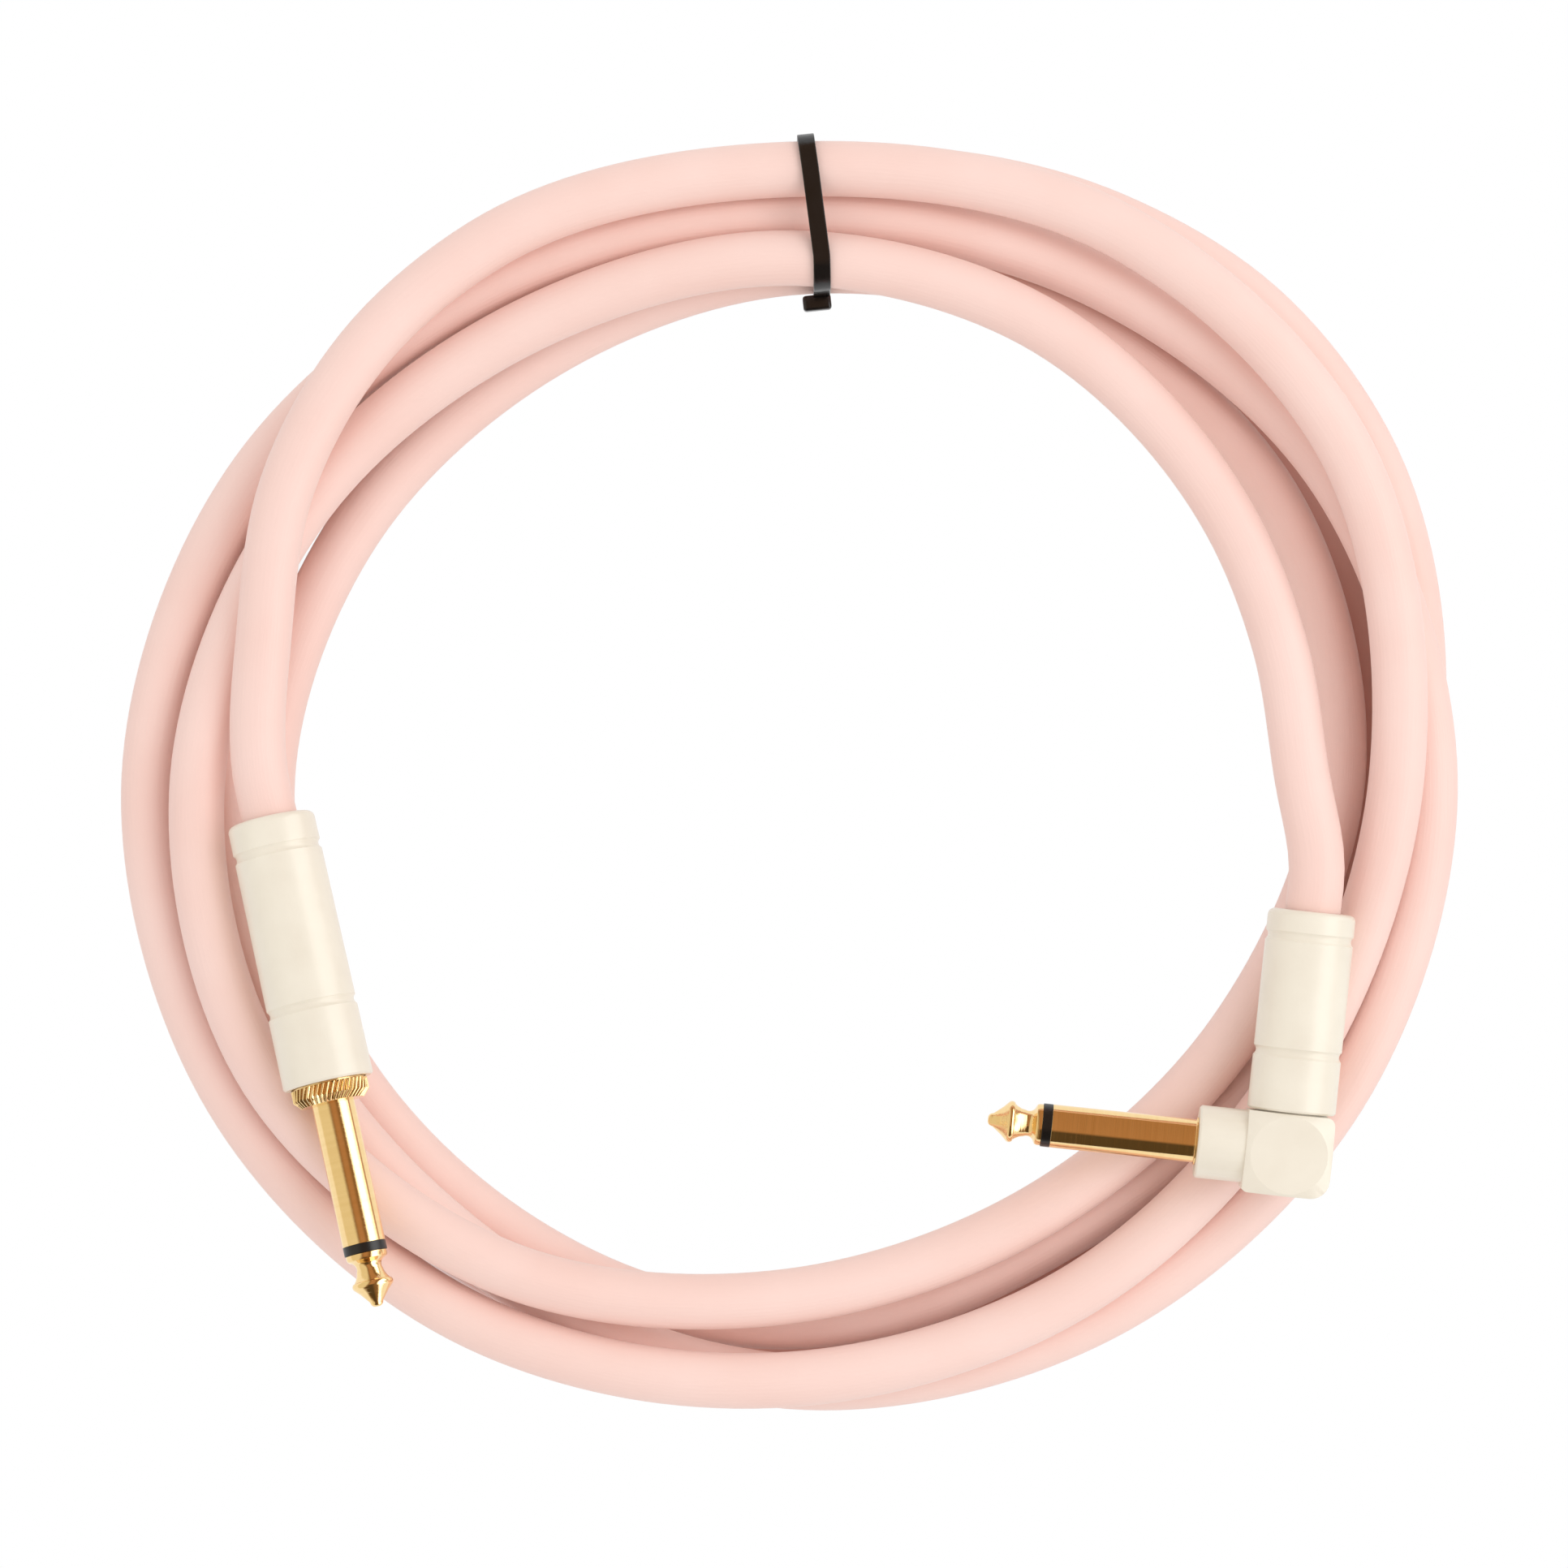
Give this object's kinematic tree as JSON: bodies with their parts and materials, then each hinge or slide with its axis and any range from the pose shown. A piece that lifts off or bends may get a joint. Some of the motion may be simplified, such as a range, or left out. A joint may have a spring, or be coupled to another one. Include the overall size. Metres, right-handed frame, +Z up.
{
  "type": "instrument cable",
  "caption": "Coiled instrument cable with a straight plug and a right-angle plug, screw-on barrels and a cable tie round the bundle.",
  "frame": {"origin": "middle of the coil's outer box, on the surface that the coil lies on", "axes": "+Z up, away from the surface; +X across the coil from the straight plug's side to the right-angle plug's side; +Y from the plugs' side towards the cable tie"},
  "size_m": [0.197, 0.1885, 0.0343],
  "materials": {
    "pink_jacket": "satin",
    "black_nylon": "satin",
    "gold_plate": "polished",
    "black_insulator": "satin",
    "ivory_finish": "satin",
    "white_plastic": "matte",
    "clear_plastic": "gloss",
    "copper": "bright"
  },
  "bodies": {
    "lead": {"cable": "pink_jacket", "cable_tie": "black_nylon", "straight_tip": "gold_plate", "straight_tip_insulator": "black_insulator", "straight_sleeve": "gold_plate", "straight_rear_insulator": "black_insulator", "straight_tip_lug": "gold_plate", "straight_ground_lug": "gold_plate", "straight_collet": "white_plastic", "straight_shield": "copper", "straight_core": "white_plastic", "straight_conductor": "copper", "angle_tip": "gold_plate", "angle_tip_insulator": "black_insulator", "angle_sleeve": "gold_plate", "angle_rear_insulator": "black_insulator", "angle_tip_lug": "gold_plate", "angle_ground_lug": "gold_plate", "angle_collet": "white_plastic", "angle_shield": "copper", "angle_core": "white_plastic", "angle_conductor": "copper", "angle_head": "ivory_finish"},
    "straight_carrier": {"straight_liner": "clear_plastic"},
    "straight_barrel": {"straight_barrel_shell": "ivory_finish"},
    "angle_carrier": {"angle_liner": "clear_plastic"},
    "angle_barrel": {"angle_barrel_shell": "ivory_finish"}
  },
  "joints": [
    {"name": "straight_barrel_advance", "type": "slide", "parent": "lead", "child": "straight_carrier", "axis": [-0.2203, 0.9698, -0.1045], "range_m": [0, 0.0061]},
    {"name": "straight_barrel_turn", "type": "hinge", "parent": "straight_carrier", "child": "straight_barrel", "pos_m": [-0.07622, -0.00673, 0.02355], "axis": [-0.2203, 0.9698, -0.1045], "range_deg": [0, 2880]},
    {"name": "angle_barrel_advance", "type": "slide", "parent": "lead", "child": "angle_carrier", "axis": [0.1045, 0.9945, 0], "range_m": [0, 0.0061]},
    {"name": "angle_barrel_turn", "type": "hinge", "parent": "angle_carrier", "child": "angle_barrel", "pos_m": [0.07664, -0.02029, 0.02418], "axis": [0.1045, 0.9945, 0], "range_deg": [0, 2880]}
  ],
  "couplings": [
    {"joint": "straight_barrel_advance", "follows": "straight_barrel_turn", "m_per_rad": 0.00011937},
    {"joint": "angle_barrel_advance", "follows": "angle_barrel_turn", "m_per_rad": 0.00011937}
  ]
}
